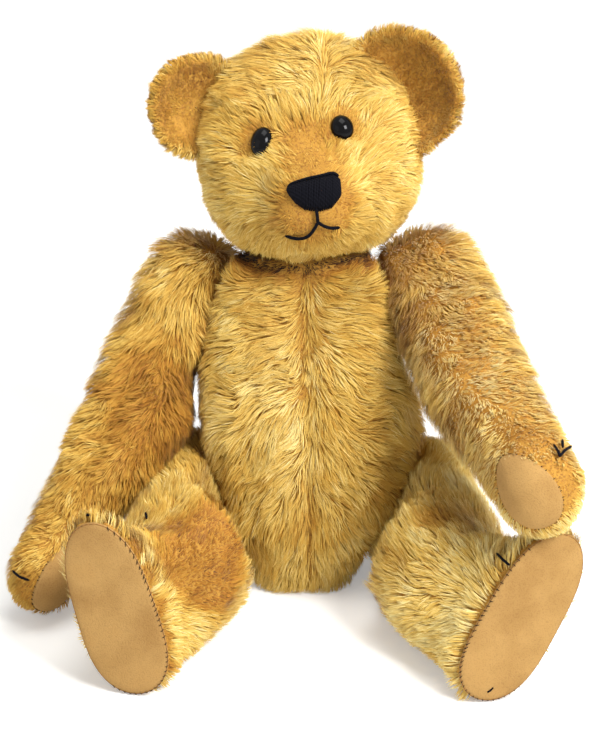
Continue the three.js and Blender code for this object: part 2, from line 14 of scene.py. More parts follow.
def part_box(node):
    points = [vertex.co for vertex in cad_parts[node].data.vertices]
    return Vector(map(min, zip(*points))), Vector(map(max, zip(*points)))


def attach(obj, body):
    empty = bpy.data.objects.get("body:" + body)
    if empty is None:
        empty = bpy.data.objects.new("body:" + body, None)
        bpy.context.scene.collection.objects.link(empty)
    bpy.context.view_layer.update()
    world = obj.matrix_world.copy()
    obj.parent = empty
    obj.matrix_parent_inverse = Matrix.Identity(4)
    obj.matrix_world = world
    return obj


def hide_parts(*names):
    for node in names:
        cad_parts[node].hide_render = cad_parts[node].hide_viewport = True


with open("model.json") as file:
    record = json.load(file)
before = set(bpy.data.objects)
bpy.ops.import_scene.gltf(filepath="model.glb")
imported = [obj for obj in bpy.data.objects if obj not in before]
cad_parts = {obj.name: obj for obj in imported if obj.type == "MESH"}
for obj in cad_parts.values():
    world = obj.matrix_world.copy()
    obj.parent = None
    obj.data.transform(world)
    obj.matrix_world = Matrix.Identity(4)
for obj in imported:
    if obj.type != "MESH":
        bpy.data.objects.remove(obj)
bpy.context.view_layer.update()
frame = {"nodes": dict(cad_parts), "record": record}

MM = 0.001
scene = bpy.context.scene

# The camera, and the photograph's frame
PHOTO_SIZE = (600, 746)
FOCAL_PIXELS = 2000
CAMERA_TARGET = Vector((0, -22, 117.5)) * MM
CAMERA_DISTANCE = 1000 * MM
CAMERA_ELEVATION = math.radians(22)
SENSOR = 36

FORWARD = Vector((0, math.cos(CAMERA_ELEVATION), -math.sin(CAMERA_ELEVATION)))
UP = Vector((0, math.sin(CAMERA_ELEVATION), math.cos(CAMERA_ELEVATION)))
EYE_POINT = CAMERA_TARGET - FORWARD * CAMERA_DISTANCE

# Face, in pixels of the photograph
EYE_PIXELS = {"right": (262, 142), "left": (342, 128)}
EYE_RADIUS = 5.6 * MM
EYE_STAND_OUT = 3.4 * MM
EYE_SINK = 0.55
EYE_DEPTH = 0.8
EYE_LEANS = {"right": (3, -14), "left": (-4, -13)}
EYE_STRETCH = {"right": 1.35, "left": 1.16}
NOSE_TOP = [(289, 189), (293, 185), (306, 180.5), (321, 177), (332, 175), (337.5, 178)]
NOSE_FOOT = [(290, 194), (296, 203), (305, 209.5), (318, 211.5), (331, 208), (339, 198)]
NOSE_THREADS = 31
NOSE_THREAD = 0.78 * MM
NOSE_CROWN = 2.4 * MM
MOUTH_LINES = [
    [(316, 208), (317, 214), (318, 222)],
    [(318, 221), (313, 229), (307, 234), (298, 235.5), (288, 233)],
    [(318, 221), (323, 224), (330, 226), (338, 225.5)],
]
MOUTH_THREAD = 0.85 * MM
MOUTH_LIFT = 2.0 * MM
CLAW_LINES = {
    "arm_left": [
        [(552, 449), (556, 455), (558, 460)],
        [(567, 450), (562, 455), (558, 460)],
        [(559, 444), (560, 452)],
    ],
    "arm_right": [[(17, 571), (23, 576), (31, 579)]],
    "leg_right": [[(86, 516), (90, 519)], [(148, 519), (149, 525)]],
    "leg_left": [[(502, 558), (507, 563), (511, 568)]],
}
CLAW_THREAD = 0.66 * MM
CLAW_LIFT = {"arm": 2.6 * MM, "leg": 3.6 * MM}
SLIT_PIXELS = [(487, 692), (490, 690), (493, 687)]
SLIT_THREAD = 0.5 * MM
SLIT_LIFT = 0.35 * MM
CLIPPED_PIXELS = [(308, 142), (311, 164), (316, 206)]
PARTING_PIXEL = (322, 90)
# Where the painted shadow under the chin begins (foot) and is full (top)
CHIN_SHADOW_PIXELS = {"foot": (300, 282), "top": (300, 265)}

# Cloth, and how far each kind stays above the floor
SKIN_REST = 0.2 * MM
PILE_REST = 0.1 * MM
FELT_REST = 0.15 * MM
THREAD_REST = 0.4 * MM
LOFT = 0.7 * MM
BODY_VOXEL = 2.6 * MM
EAR_VOXEL = 1.3 * MM
SEAM_AT_SEAT = 6.5 * MM
SEAM_AT_NECK = 1 * MM
SEAM_GROOVE = 1.6 * MM
SHOULDER_RISE = 5 * MM
STITCH_STEP = 2.2 * MM
STITCH_THREAD = 0.26 * MM
RIM_THREAD = 0.2 * MM
PAW_PADS = {
    "left": {"middle": (522, 492), "upper_end": (499, 443), "length": 92 * MM, "width": 41 * MM},
    "right": {"middle": (60, 585), "upper_end": (66, 550), "length": 60 * MM, "width": 31 * MM},
}
PAD_FLATNESS = 16 * MM
# Painted shade: how much darker the strands grow in creases where one part crowds another
CREASE_PAINTED_SHADE = 0.34

# Colours, as seen
PILE_COLOURS = [
    (0.0, (38, 22, 10)),
    (0.14, (100, 62, 22)),
    (0.26, (154, 98, 30)),
    (0.4, (190, 132, 42)),
    (0.6, (208, 160, 62)),
    (0.76, (228, 190, 90)),
    (0.88, (244, 216, 126)),
    (1.0, (254, 240, 172)),
]
# Painted shade along each strand, darkest at its root, where the other strands shade it
ROOT_PAINTED_SHADE = [(0, (0.42, 0.34, 0.24, 1)), (0.4, (0.86, 0.81, 0.74, 1)), (1, (1, 1, 1, 1))]
STAINS = [(0.3, (0.78, 0.73, 0.68, 1)), (0.55, (1, 1, 1, 1)), (0.75, (1, 0.97, 0.93, 1))]
BACKING = (186, 138, 60)
BACKING_FLECK = (150, 104, 50)
FELT = (180, 141, 84)
FELT_SPECK = (168, 130, 78)
THREAD_BLACK = (6, 6, 12)
STITCH_BROWN = (48, 36, 26)
# Brown of the thread round each sole, which is its seam and also painted shadow in the seam's crease
SEAM_AND_SHADOW_BROWN = (118, 82, 44)
BOARD = (140, 108, 74)
STEEL = (165, 163, 158)
PAPER = (246, 246, 243)

random = np.random.default_rng(7)


def linear(rgb):
    """A colour as seen, in 255ths, as the linear colour that Blender keeps."""
    return [((c / 255 + 0.055) / 1.055) ** 2.4 if c > 10 else c / 255 / 12.92 for c in rgb] + [1]


def pixel_ray(x, y):
    """The direction in which the camera sees a pixel of the photograph."""
    across = (x - PHOTO_SIZE[0] / 2) / FOCAL_PIXELS
    down = (y - PHOTO_SIZE[1] / 2) / FOCAL_PIXELS
    return (FORWARD + Vector((1, 0, 0)) * across - UP * down).normalized()


def photo_pixels(points):
    """Where the camera sees points, in pixels of the photograph."""
    offset = points - np.array(EYE_POINT)
    depth = offset @ np.array(FORWARD)
    x = PHOTO_SIZE[0] / 2 + FOCAL_PIXELS * offset[:, 0] / depth
    y = PHOTO_SIZE[1] / 2 - FOCAL_PIXELS * (offset @ np.array(UP)) / depth
    return x, y


def inside(points, normals, outline):
    """1 for points that face the camera within an outline of pixels, and 0 for the rest."""
    x, y = photo_pixels(points)
    crossings = np.zeros(len(points), dtype=int)
    for (x0, y0), (x1, y1) in zip(outline, outline[1:] + outline[:1]):
        spans = (y0 > y) != (y1 > y)
        at = x0 + (y - y0) * (x1 - x0) / (y1 - y0 if y1 != y0 else 1)
        crossings += spans & (x < at)
    facing = normals @ np.array(FORWARD) < 0
    return ((crossings % 2 == 1) & facing).astype(float)


def unit(vectors):
    """The vectors, each a row, at length 1."""
    return vectors / np.maximum(np.linalg.norm(vectors, axis=1, keepdims=True), 1e-9)


def apart(points, place):
    """How far each point lies from a place."""
    return np.linalg.norm(points - place, axis=1)


def ease(values, low, high):
    """0 below low, 1 above high, and smooth between."""
    part = np.clip((values - low) / (high - low), 0, 1)
    return part * part * (3 - 2 * part)


def mottle(points, size, seed):
    """Smooth random values from -1 to 1 at the points, which change over that size."""
    grid = points / size
    cell = np.floor(grid).astype(np.int64)
    part = grid - cell
    part = part * part * (3 - 2 * part)
    total = np.zeros(len(points))
    for corner in range(8):
        step = np.array([corner & 1, corner >> 1 & 1, corner >> 2 & 1])
        at = cell + step
        mixed = at[:, 0] * 73856093 ^ at[:, 1] * 19349663 ^ at[:, 2] * 83492791 ^ seed * 40503
        mixed = (mixed ^ (mixed >> 13)) * 1274126177 & 0x7FFFFFFF
        mixed = mixed ^ (mixed >> 15)
        value = (mixed % 8191) / 4095.5 - 1
        total += value * np.prod(np.where(step, part, 1 - part), axis=1)
    return total


# Materials


def preset(node, values):
    """Sets a node's inputs by their names."""
    for name, value in values.items():
        node.inputs[name].default_value = value


def new_material(name, roughness, specular=0.5):
    """A new procedural material, its node tree and its shader."""
    material = bpy.data.materials.new(name)
    material.use_nodes = True
    tree = material.node_tree
    shader = tree.nodes["Principled BSDF"]
    preset(shader, {"Roughness": roughness, "Specular IOR Level": specular})
    return material, tree, shader


def ramp(tree, factor, stops):
    """A colour ramp of stops, driven by factor."""
    node = tree.nodes.new("ShaderNodeValToRGB")
    elements = node.color_ramp.elements
    while len(elements) < len(stops):
        elements.new(0.5)
    for element, (place, colour) in zip(elements, stops):
        element.position = place
        element.color = colour
    tree.links.new(factor, node.inputs["Fac"])
    return node.outputs["Color"]


def noise_texture(tree, scale, detail):
    """Noise over the object's own coordinates."""
    coordinates = tree.nodes.new("ShaderNodeTexCoord")
    node = tree.nodes.new("ShaderNodeTexNoise")
    preset(node, {"Scale": scale, "Detail": detail})
    tree.links.new(coordinates.outputs["Object"], node.inputs["Vector"])
    return node.outputs["Fac"]


def multiply(tree, first, second):
    """One colour times another."""
    node = tree.nodes.new("ShaderNodeMix")
    node.data_type = "RGBA"
    node.blend_type = "MULTIPLY"
    node.inputs["Factor"].default_value = 1
    tree.links.new(first, node.inputs["A"])
    tree.links.new(second, node.inputs["B"])
    return node.outputs["Result"]


def bump(tree, shader, height, strength, distance):
    """Bump from a height."""
    node = tree.nodes.new("ShaderNodeBump")
    preset(node, {"Strength": strength, "Distance": distance})
    tree.links.new(height, node.inputs["Height"])
    tree.links.new(node.outputs["Normal"], shader.inputs["Normal"])


def pile_material():
    """Mohair strands: the strand's shade runs along U, and a painted shade, darkest at the root, from root to
    tip along V.
    """
    material, tree, shader = new_material("mohair_pile", 0.62, 0.25)
    strand = tree.nodes.new("ShaderNodeUVMap")
    strand.uv_map = "OFBake"
    parts = tree.nodes.new("ShaderNodeSeparateXYZ")
    tree.links.new(strand.outputs["UV"], parts.inputs["Vector"])
    colour = ramp(tree, parts.outputs["X"], [(at, linear(rgb)) for at, rgb in PILE_COLOURS])
    # Painted shade from the root to the tip
    depth = ramp(tree, parts.outputs["Y"], ROOT_PAINTED_SHADE)
    tree.links.new(multiply(tree, colour, depth), shader.inputs["Base Color"])
    shader.inputs["Sheen Weight"].default_value = 0.15
    return material


def cloth_material(name, colour, fleck, weave, patch):
    """Cloth with a fine weave, flecks and broad stains."""
    material, tree, shader = new_material(name, 0.9, 0.15)
    fine = noise_texture(tree, weave, 2)
    broad = noise_texture(tree, patch, 4)
    flecks = ramp(tree, fine, [(0.34, linear(fleck)), (0.5, linear(colour)), (0.75, linear(colour))])
    stains = ramp(tree, broad, STAINS)
    tree.links.new(multiply(tree, flecks, stains), shader.inputs["Base Color"])
    bump(tree, shader, fine, 0.5, 0.6 * MM)
    return material


def thread_material(name, colour, roughness=0.85):
    """Twisted thread."""
    material, tree, shader = new_material(name, roughness, 0.1)
    coordinates = tree.nodes.new("ShaderNodeTexCoord")
    twist = tree.nodes.new("ShaderNodeTexWave")
    twist.bands_direction = "DIAGONAL"
    twist.inputs["Scale"].default_value = 260
    tree.links.new(coordinates.outputs["Object"], twist.inputs["Vector"])
    lighter = [min(255, c * 1.3 + 3) for c in colour]
    shade = ramp(tree, twist.outputs["Fac"], [(0.2, linear(colour)), (1, linear(lighter))])
    tree.links.new(shade, shader.inputs["Base Color"])
    bump(tree, shader, twist.outputs["Fac"], 0.5, 0.0003)
    return material


def glass_material():
    """Polished black glass."""
    material, tree, shader = new_material("black_glass", 0.08, 0.12)
    smudge = noise_texture(tree, 300, 2)
    tint = ramp(tree, smudge, [(0.3, linear((5, 5, 6))), (0.8, linear((12, 11, 13)))])
    tree.links.new(tint, shader.inputs["Base Color"])
    return material


def hard_material(name, colour, metallic, roughness, scale):
    """Board or steel with a mottled surface."""
    material, tree, shader = new_material(name, roughness)
    speck = noise_texture(tree, scale, 4)
    darker = [c * 0.75 for c in colour]
    tint = ramp(tree, speck, [(0.35, linear(darker)), (0.65, linear(colour))])
    tree.links.new(tint, shader.inputs["Base Color"])
    shader.inputs["Metallic"].default_value = metallic
    bump(tree, shader, speck, 0.2, 0.0002)
    return material


PILE = pile_material()
CLOTH = cloth_material("mohair_backing", BACKING, BACKING_FLECK, weave=900, patch=60)
FELT_CLOTH = cloth_material("felt", FELT, FELT_SPECK, weave=1500, patch=45)
SOOT = thread_material("black_thread", THREAD_BLACK)
BROWN = thread_material("stitching", STITCH_BROWN, 0.8)
# Thread for the soles' seams, which also stands for painted shadow in their creases
SEAM_AND_SHADOW = thread_material("seam_thread_and_shadow", SEAM_AND_SHADOW_BROWN)
GLASS = glass_material()
BOARD_LOOK = hard_material("board", BOARD, 0, 0.85, 500)
STEEL_LOOK = hard_material("steel", STEEL, 1, 0.4, 900)


# Pieces


def placed(name, data):
    """A new object in the scene."""
    new = bpy.data.objects.new(name, data)
    scene.collection.objects.link(new)
    return new


def above_floor(point):
    """The point, or the nearest above it where a thread clears the floor."""
    return Vector((*point.xy, max(point.z, THREAD_REST)))


def sole_mount(side):
    """Where a sole is mounted, and the way that it faces."""
    mount = next(m for m in frame["record"]["mounts"] if m["name"] == f"sole_{side}")
    return mount["pos_m"], mount["axis"]


def add_piece(name, points, faces, material, body):
    """A new mesh piece that rides on a body."""
    mesh = bpy.data.meshes.new(name)
    mesh.from_pydata([tuple(point) for point in points], [], faces)
    mesh.update()
    mesh.polygons.foreach_set("use_smooth", [True] * len(mesh.polygons))
    mesh.materials.append(material)
    piece = placed(name, mesh)
    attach(piece, body)
    return piece


def tube(points, radii, sides=7):
    """Corners and faces of a closed tube through the points."""
    corners, faces = [], []
    count = len(points)
    side = None
    for i, point in enumerate(points):
        along = (points[min(i + 1, count - 1)] - points[max(i - 1, 0)]).normalized()
        if side is None:
            side = along.orthogonal().normalized()
        side = (side - along * side.dot(along)).normalized()
        other = along.cross(side)
        for k in range(sides):
            angle = 2 * math.pi * k / sides
            corners.append(point + (side * math.cos(angle) + other * math.sin(angle)) * radii[i])
    for i in range(count - 1):
        for k in range(sides):
            a, b = i * sides + k, i * sides + (k + 1) % sides
            faces.append((a, b, b + sides, a + sides))
    faces.append(tuple(range(sides))[::-1])
    faces.append(tuple(range((count - 1) * sides, count * sides)))
    return corners, faces


def add_tubes(name, lines, radius, material, body):
    """One piece of several threads, each rounded off at its ends."""
    corners, faces = [], []
    for line in lines:
        last = len(line) - 1
        radii = [radius * (0.55 if i in (0, last) else 1) for i in range(len(line))]
        more, these = tube(line, radii)
        start = len(corners)
        corners += more
        faces += [tuple(start + k for k in face) for face in these]
    return add_piece(name, corners, faces, material, body)


def smooth_line(points, steps, closed=False):
    """A smooth curve through the points."""
    count = len(points)
    spans = count if closed else count - 1
    pick = (lambda i: points[i % count]) if closed else (lambda i: points[min(max(i, 0), count - 1)])
    line = []
    for i in range(spans):
        a, b, c, d = (pick(i + k) for k in (-1, 0, 1, 2))
        for k in range(steps):
            t = k / steps
            line.append(
                b
                + (c - a) * (t / 2)
                + (a * 2 - b * 5 + c * 4 - d) * (t * t / 2)
                + (b * 3 - a - c * 3 + d) * (t**3 / 2)
            )
    if not closed:
        line.append(points[-1].copy())
    return line


class Skin:
    """The outside of a stuffed piece, and what is needed to set things on it."""

    def __init__(self, name, nodes, fill, voxel, settle):
        """Wraps the nodes, and the hidden ones that fill them, in one closed cloth surface."""
        raw = bmesh.new()
        for node in [*nodes, *fill]:
            raw.from_mesh(frame["nodes"][node].data)
        mesh = bpy.data.meshes.new(name)
        raw.to_mesh(mesh)
        raw.free()
        self.piece = placed(name, mesh)
        remesh = self.piece.modifiers.new("wrap", "REMESH")
        remesh.mode = "VOXEL"
        remesh.voxel_size = voxel
        relax = self.piece.modifiers.new("relax", "SMOOTH")
        relax.factor = 0.5
        relax.iterations = settle
        bpy.context.view_layer.update()
        evaluated = self.piece.evaluated_get(bpy.context.evaluated_depsgraph_get())
        self.piece.data = bpy.data.meshes.new_from_object(evaluated)
        self.piece.modifiers.clear()
        self.keep_outside()

    def keep_outside(self):
        """Removes every inner shell."""
        cloth = bmesh.new()
        cloth.from_mesh(self.piece.data)
        seen, shells = set(), []
        for first in cloth.verts:
            if first.index in seen:
                continue
            seen.add(first.index)
            shell, front = [first], [first]
            while front:
                for edge in front.pop().link_edges:
                    for vertex in edge.verts:
                        if vertex.index not in seen:
                            seen.add(vertex.index)
                            shell.append(vertex)
                            front.append(vertex)
            shells.append(shell)
        shells.sort(key=len)
        inner = [vertex for shell in shells[:-1] for vertex in shell]
        bmesh.ops.delete(cloth, geom=inner, context="VERTS")
        cloth.to_mesh(self.piece.data)
        cloth.free()

    def arrays(self):
        """Corners and normals as numpy arrays."""
        mesh = self.piece.data
        count = len(mesh.vertices)
        points, normals = np.empty(count * 3), np.empty(count * 3)
        mesh.vertices.foreach_get("co", points)
        mesh.vertices.foreach_get("normal", normals)
        return points.reshape(-1, 3), normals.reshape(-1, 3)

    def push(self, amounts):
        """Moves each corner along its normal."""
        points, normals = self.arrays()
        points = points + normals * amounts[:, None]
        points[:, 2] = np.maximum(points[:, 2], SKIN_REST)
        self.piece.data.vertices.foreach_set("co", points.ravel())
        self.piece.data.update()

    def finish(self, material, body, replaces):
        """Gives the piece its cloth and its place in the frame."""
        mesh = self.piece.data
        mesh.materials.clear()
        mesh.materials.append(material)
        mesh.polygons.foreach_set("use_smooth", [True] * len(mesh.polygons))
        points, _ = self.arrays()
        faces = [tuple(polygon.vertices) for polygon in mesh.polygons]
        self.tree = BVHTree.FromPolygons([Vector(point) for point in points], faces)
        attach(self.piece, body)
        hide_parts(*replaces)
        self.body = body

    def measure_room(self, others):
        """How far each corner lies from the nearest skin that it turns against."""
        points, _ = self.arrays()
        self.room = np.full(len(points), 1.0)
        for other in others:
            for i, point in enumerate(points):
                self.room[i] = min(self.room[i], other.tree.find_nearest(point)[3])

    def seen_at(self, pixel):
        """The point and normal of the skin under a pixel, or the nearest to its ray."""
        ray = pixel_ray(*pixel)
        point, normal, _, _ = self.tree.ray_cast(EYE_POINT, ray)
        if point is None:
            nearest = min(
                (self.tree.find_nearest(EYE_POINT + ray * (0.8 + 0.01 * k)) for k in range(50)),
                key=lambda found: found[3],
            )
            point, normal = nearest[0], nearest[1]
        return point, normal

    def threads_at(self, lines, lift):
        """Smooth lines on the skin through pixels."""
        drawn = []
        for line in lines:
            places = [self.seen_at(pixel) for pixel in line]
            drawn.append(smooth_line([point + normal * lift for point, normal in places], 4))
        return drawn


def drawn_together(roots, values, spacing, spread, pull):
    """Draws the values of strands towards those of leaders, which are spread at a spacing."""
    leaders = random.choice(len(roots), min(len(roots), max(1, int(spread / spacing**2))), replace=False)
    finder = KDTree(len(leaders))
    for i, leader in enumerate(leaders):
        finder.insert(roots[leader], i)
    finder.balance()
    nearest = leaders[[finder.find(root)[1] for root in roots]]
    drawn = [value + (value[nearest] - value) * pull * share for value, share in values]
    return drawn, nearest


def grow_pile(
    name, skin, strands, flow, length, density, shade,
    lift=0.6, root=0.02, width=0.4 * MM, curl=0.5, tuft=2.4 * MM, lock=7 * MM,
):
    """Mohair strands on a skin: flat ribbons that lie along a flow, in tufts and in wider locks.
    root is where along its painted root shade a strand starts, as a share or as a function that gives one."""
    mesh = skin.piece.data
    points, normals = skin.arrays()
    mesh.calc_loop_triangles()
    corners = np.empty(len(mesh.loop_triangles) * 3, dtype=np.int64)
    mesh.loop_triangles.foreach_get("vertices", corners)
    corners = corners.reshape(-1, 3)
    a, b, c = (points[corners[:, k]] for k in range(3))
    centres = (a + b + c) / 3
    crossed = np.cross(b - a, c - a)
    area = np.linalg.norm(crossed, axis=1) / 2
    open_share = 0.03 + 0.97 * ease(skin.room[corners].mean(axis=1), 1.6 * MM, 4.5 * MM)
    chance = area * open_share * np.clip(density(centres, unit(crossed)), 0, None)
    chosen = random.choice(len(corners), strands, p=chance / chance.sum())
    u, v = random.random(strands), random.random(strands)
    fold = u + v > 1
    u[fold], v[fold] = 1 - u[fold], 1 - v[fold]
    weights = np.stack([1 - u - v, u, v], axis=1)
    roots = (points[corners[chosen]] * weights[:, :, None]).sum(axis=1)
    out = unit((normals[corners[chosen]] * weights[:, :, None]).sum(axis=1))
    room = (skin.room[corners[chosen]] * weights).sum(axis=1)
    spread = area[chance > 0.2 * chance.max() * area / area.max()].sum()

    _, in_lock = drawn_together(roots, [], lock, spread, 0)
    lie = flow(roots, out)
    lie = unit(lie - out * (lie * out).sum(axis=1, keepdims=True))
    across = np.cross(out, lie)
    swirl = curl * (mottle(roots, 16 * MM, 11) + 0.5 * mottle(roots, 6 * MM, 12))
    swirl += (random.normal(0, 0.22, strands))[in_lock] + random.normal(0, 0.2, strands)
    lie = lie * np.cos(swirl)[:, None] + across * np.sin(swirl)[:, None]
    rise = lift * (1 + 0.35 * mottle(roots, 9 * MM, 13)) + random.normal(0, 0.14, strands)
    size = length(roots, out) * (1 + 0.15 * random.normal(size=strands).clip(-2, 2))
    size *= (1 + 0.12 * random.normal(size=strands).clip(-2, 2))[in_lock]
    size *= 0.4 + 0.6 * ease(room, 2 * MM, 10 * MM)
    middle = roots + (lie * np.cos(rise)[:, None] + out * np.sin(rise)[:, None]) * (size * 0.5)[:, None]
    droop = rise * 0.3
    tips = middle + (lie * np.cos(droop)[:, None] + out * np.sin(droop)[:, None]) * (size * 0.5)[:, None]
    pull = random.uniform(0.35, 1, strands)[:, None]
    (tips, middle), _ = drawn_together(roots, [(tips, 0.28), (middle, 0.1)], lock, spread, pull)
    (tips, middle), _ = drawn_together(roots, [(tips, 0.6), (middle, 0.25)], tuft, spread, pull)

    breadth = width * random.uniform(0.7, 1.25, strands)[:, None] / 2
    base = roots - out * 0.4 * MM
    sideways = unit(np.cross(unit(tips - base), out))
    spine = base * 0.25 + middle * 0.5 + tips * 0.25
    rows = [base - sideways * breadth, base + sideways * breadth]
    rows += [spine - sideways * breadth * 0.8, spine + sideways * breadth * 0.8, tips]
    ribbon = np.stack(rows, axis=1).reshape(-1, 3)
    ribbon[:, 2] = np.maximum(ribbon[:, 2], PILE_REST)
    pattern = np.array([(0, 1, 3), (0, 3, 2), (2, 3, 4)])
    loops = (pattern[None] + (np.arange(strands) * 5)[:, None, None]).ravel()
    along = np.array([0, 0, 0.5, 0.5, 1])
    tone = shade(roots, out) + 0.075 * random.normal(size=strands)
    tone = tone + (0.035 * random.normal(size=strands))[in_lock]
    # Painted shade in the creases where this part meets another
    tone -= CREASE_PAINTED_SHADE * (1 - ease(room, 1.5 * MM, 10 * MM))

    pile = bpy.data.meshes.new(name)
    pile.vertices.add(len(ribbon))
    pile.vertices.foreach_set("co", ribbon.ravel())
    pile.loops.add(len(loops))
    pile.loops.foreach_set("vertex_index", loops)
    pile.polygons.add(len(loops) // 3)
    pile.polygons.foreach_set("loop_start", np.arange(0, len(loops), 3))
    pile.polygons.foreach_set("use_smooth", np.ones(len(loops) // 3, dtype=bool))
    uv = pile.uv_layers.new(name="OFBake")
    # V runs along the painted root shade, from where the strand starts to its tip
    depth = (root(roots, out) if callable(root) else np.full(strands, root))[loops // 5]
    colour = np.clip(tone, 0.01, 0.99)[loops // 5]
    place = np.stack([colour, depth + (0.98 - depth) * along[loops % 5]], axis=1)
    uv.data.foreach_set("uv", place.ravel())
    pile.update()
    pile.materials.append(PILE)
    piece = placed(name, pile)
    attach(piece, skin.body)


# The frame's joints


class Joint:
    """A joint's middle, its outward direction, and the way its limb points."""

    def __init__(self, name, outward, far_node=None):
        """Reads the joint from the record, and its limb's way from the box of a node far out."""
        entry = next(j for j in frame["record"]["behaviour"]["joints"] if j["name"] == name)
        self.place = np.array(entry["pos_m"])
        self.out = np.array(entry["axis"]) * outward
        self.out /= np.linalg.norm(self.out)
        if far_node:
            low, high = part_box(far_node)
            reach = (np.array(low) + np.array(high)) / 2 - self.place
            reach -= self.out * reach.dot(self.out)
            self.along = reach / np.linalg.norm(reach)

    def depth(self, points):
        """How far the points lie on the limb's side of the joint."""
        return (points - self.place) @ self.out

    def reach(self, points):
        """How far the points lie from the joint along its limb."""
        return (points - self.place) @ self.along


NECK = Joint("neck_turn", 1)
LIMBS = {
    "arm_left": Joint("shoulder_left_swing", 1, "paw_pad_left"),
    "arm_right": Joint("shoulder_right_swing", -1, "paw_pad_right"),
    "leg_left": Joint("hip_left_swing", 1, "sole_pad_left"),
    "leg_right": Joint("hip_right_swing", -1, "sole_pad_right"),
}


def wrap(
    name, nodes, fill, body, joints,
    voxel=BODY_VOXEL, settle=10, lumps=0.9 * MM, shape=None, swell=None,
):
    """A skin over nodes, a little lumpy, and flat where it meets a joint, apart from a swell."""
    skin = Skin(name, nodes, fill, voxel, settle)
    points, normals = skin.arrays()
    free = np.ones(len(points))
    for joint in joints:
        free *= ease(np.abs(joint.depth(points)), 2 * MM, 9 * MM)
    amounts = LOFT + lumps * mottle(points, 27 * MM, 3) + 0.4 * lumps * mottle(points, 11 * MM, 4)
    if shape is not None:
        amounts = amounts + shape(points, normals)
    amounts = amounts * free
    if swell is not None:
        amounts = amounts + swell(points, normals)
    skin.push(amounts)
    skin.finish(CLOTH, body, nodes)
    return skin


# Body


def off_seam(points):
    """How far the points lie to the left of the body's seam."""
    rise = np.clip(points[:, 2] / (165 * MM), 0, 1)
    return points[:, 0] - (SEAM_AT_SEAT + (SEAM_AT_NECK - SEAM_AT_SEAT) * rise)


def seam_groove(points, normals):
    """The seam draws the cloth in, and the shoulders stand up beside the neck."""
    from_seam = np.abs(off_seam(points))
    shoulder = ease(points[:, 2], 146 * MM, 160 * MM) * ease(from_seam, 18 * MM, 30 * MM)
    return SHOULDER_RISE * shoulder - SEAM_GROOVE * np.exp(-((from_seam / (4 * MM)) ** 2))


torso_nodes = ["body_panel_left", "body_panel_right", "body_stuffing"]
torso_fill = [
    f"{joint}_body_{part}"
    for joint in ("neck", "shoulder_left", "shoulder_right", "hip_left", "hip_right")
    for part in ("disc", "washer")
]
torso = wrap("torso_cloth", torso_nodes, torso_fill, "torso", [NECK, *LIMBS.values()], shape=seam_groove)


# Head
head_nodes = ["head_gusset", "head_panel_left", "head_panel_right", "head_stuffing"]
head_fill = ["neck_outer_disc", "neck_outer_washer"]
head = wrap("head_cloth", head_nodes, head_fill, "head", [NECK], settle=14, lumps=0.7 * MM)

ears = {}
for side in ("left", "right"):
    ear_nodes = [f"ear_{side}_front", f"ear_{side}_back"]
    ears[side] = wrap(f"ear_{side}_cloth", ear_nodes, [], "head", [], EAR_VOXEL, 5, 0.6 * MM)

# Eyes
for side, pixel in EYE_PIXELS.items():
    point, normal = head.seen_at(pixel)
    middle = point + normal * (EYE_STAND_OUT - EYE_RADIUS * EYE_SINK)
    ball = bmesh.new()
    bmesh.ops.create_uvsphere(ball, u_segments=32, v_segments=20, radius=EYE_RADIUS)
    turn = normal.to_track_quat("Z", "Y")
    lean = EYE_LEANS[side]
    ends = [head.seen_at((pixel[0] + way * lean[0], pixel[1] + way * lean[1]))[0] for way in (1, -1)]
    tall = (ends[0] - ends[1]).normalized()
    corners = []
    for v in ball.verts:
        offset = turn @ Vector((v.co.x, v.co.y, v.co.z * EYE_DEPTH))
        corners.append(middle + offset + tall * (offset.dot(tall) * (EYE_STRETCH[side] - 1)))
    faces = [tuple(v.index for v in face.verts) for face in ball.faces]
    ball.free()
    eye = add_piece(f"eye_{side}_glass", corners, faces, GLASS, "head")
    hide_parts(f"eye_{side}")

# Nose and mouth


def along_line(points, t):
    """The pixel at a share t of a polyline."""
    place = t * (len(points) - 1)
    i = min(int(place), len(points) - 2)
    part = place - i
    return tuple(points[i][k] * (1 - part) + points[i + 1][k] * part for k in range(2))


nose_lines = []
for i in range(NOSE_THREADS):
    t = i / (NOSE_THREADS - 1)
    top, foot = along_line(NOSE_TOP, t), along_line(NOSE_FOOT, t)
    line = []
    for k in range(7):
        s = k / 6
        pixel = tuple(top[j] * (1 - s) + foot[j] * s for j in range(2))
        point, normal = head.seen_at(pixel)
        crown = NOSE_CROWN * (1 - abs(2 * s - 1) ** 3) * (1 - 0.5 * abs(2 * t - 1) ** 3)
        line.append(point + normal * (crown + 0.3 * MM))
    nose_lines.append(line)
edge_line = [head.seen_at(pixel) for pixel in NOSE_TOP]
nose_lines.append(smooth_line([p + n * 1.2 * MM for p, n in edge_line], 4))
nose = add_tubes("nose_stitches", nose_lines, NOSE_THREAD, SOOT, "head")
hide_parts("nose")

mouth_lines = head.threads_at(MOUTH_LINES, MOUTH_LIFT)
mouth = add_tubes("mouth_thread", mouth_lines, MOUTH_THREAD, SOOT, "head")
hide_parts("mouth_stitch")

# Limbs

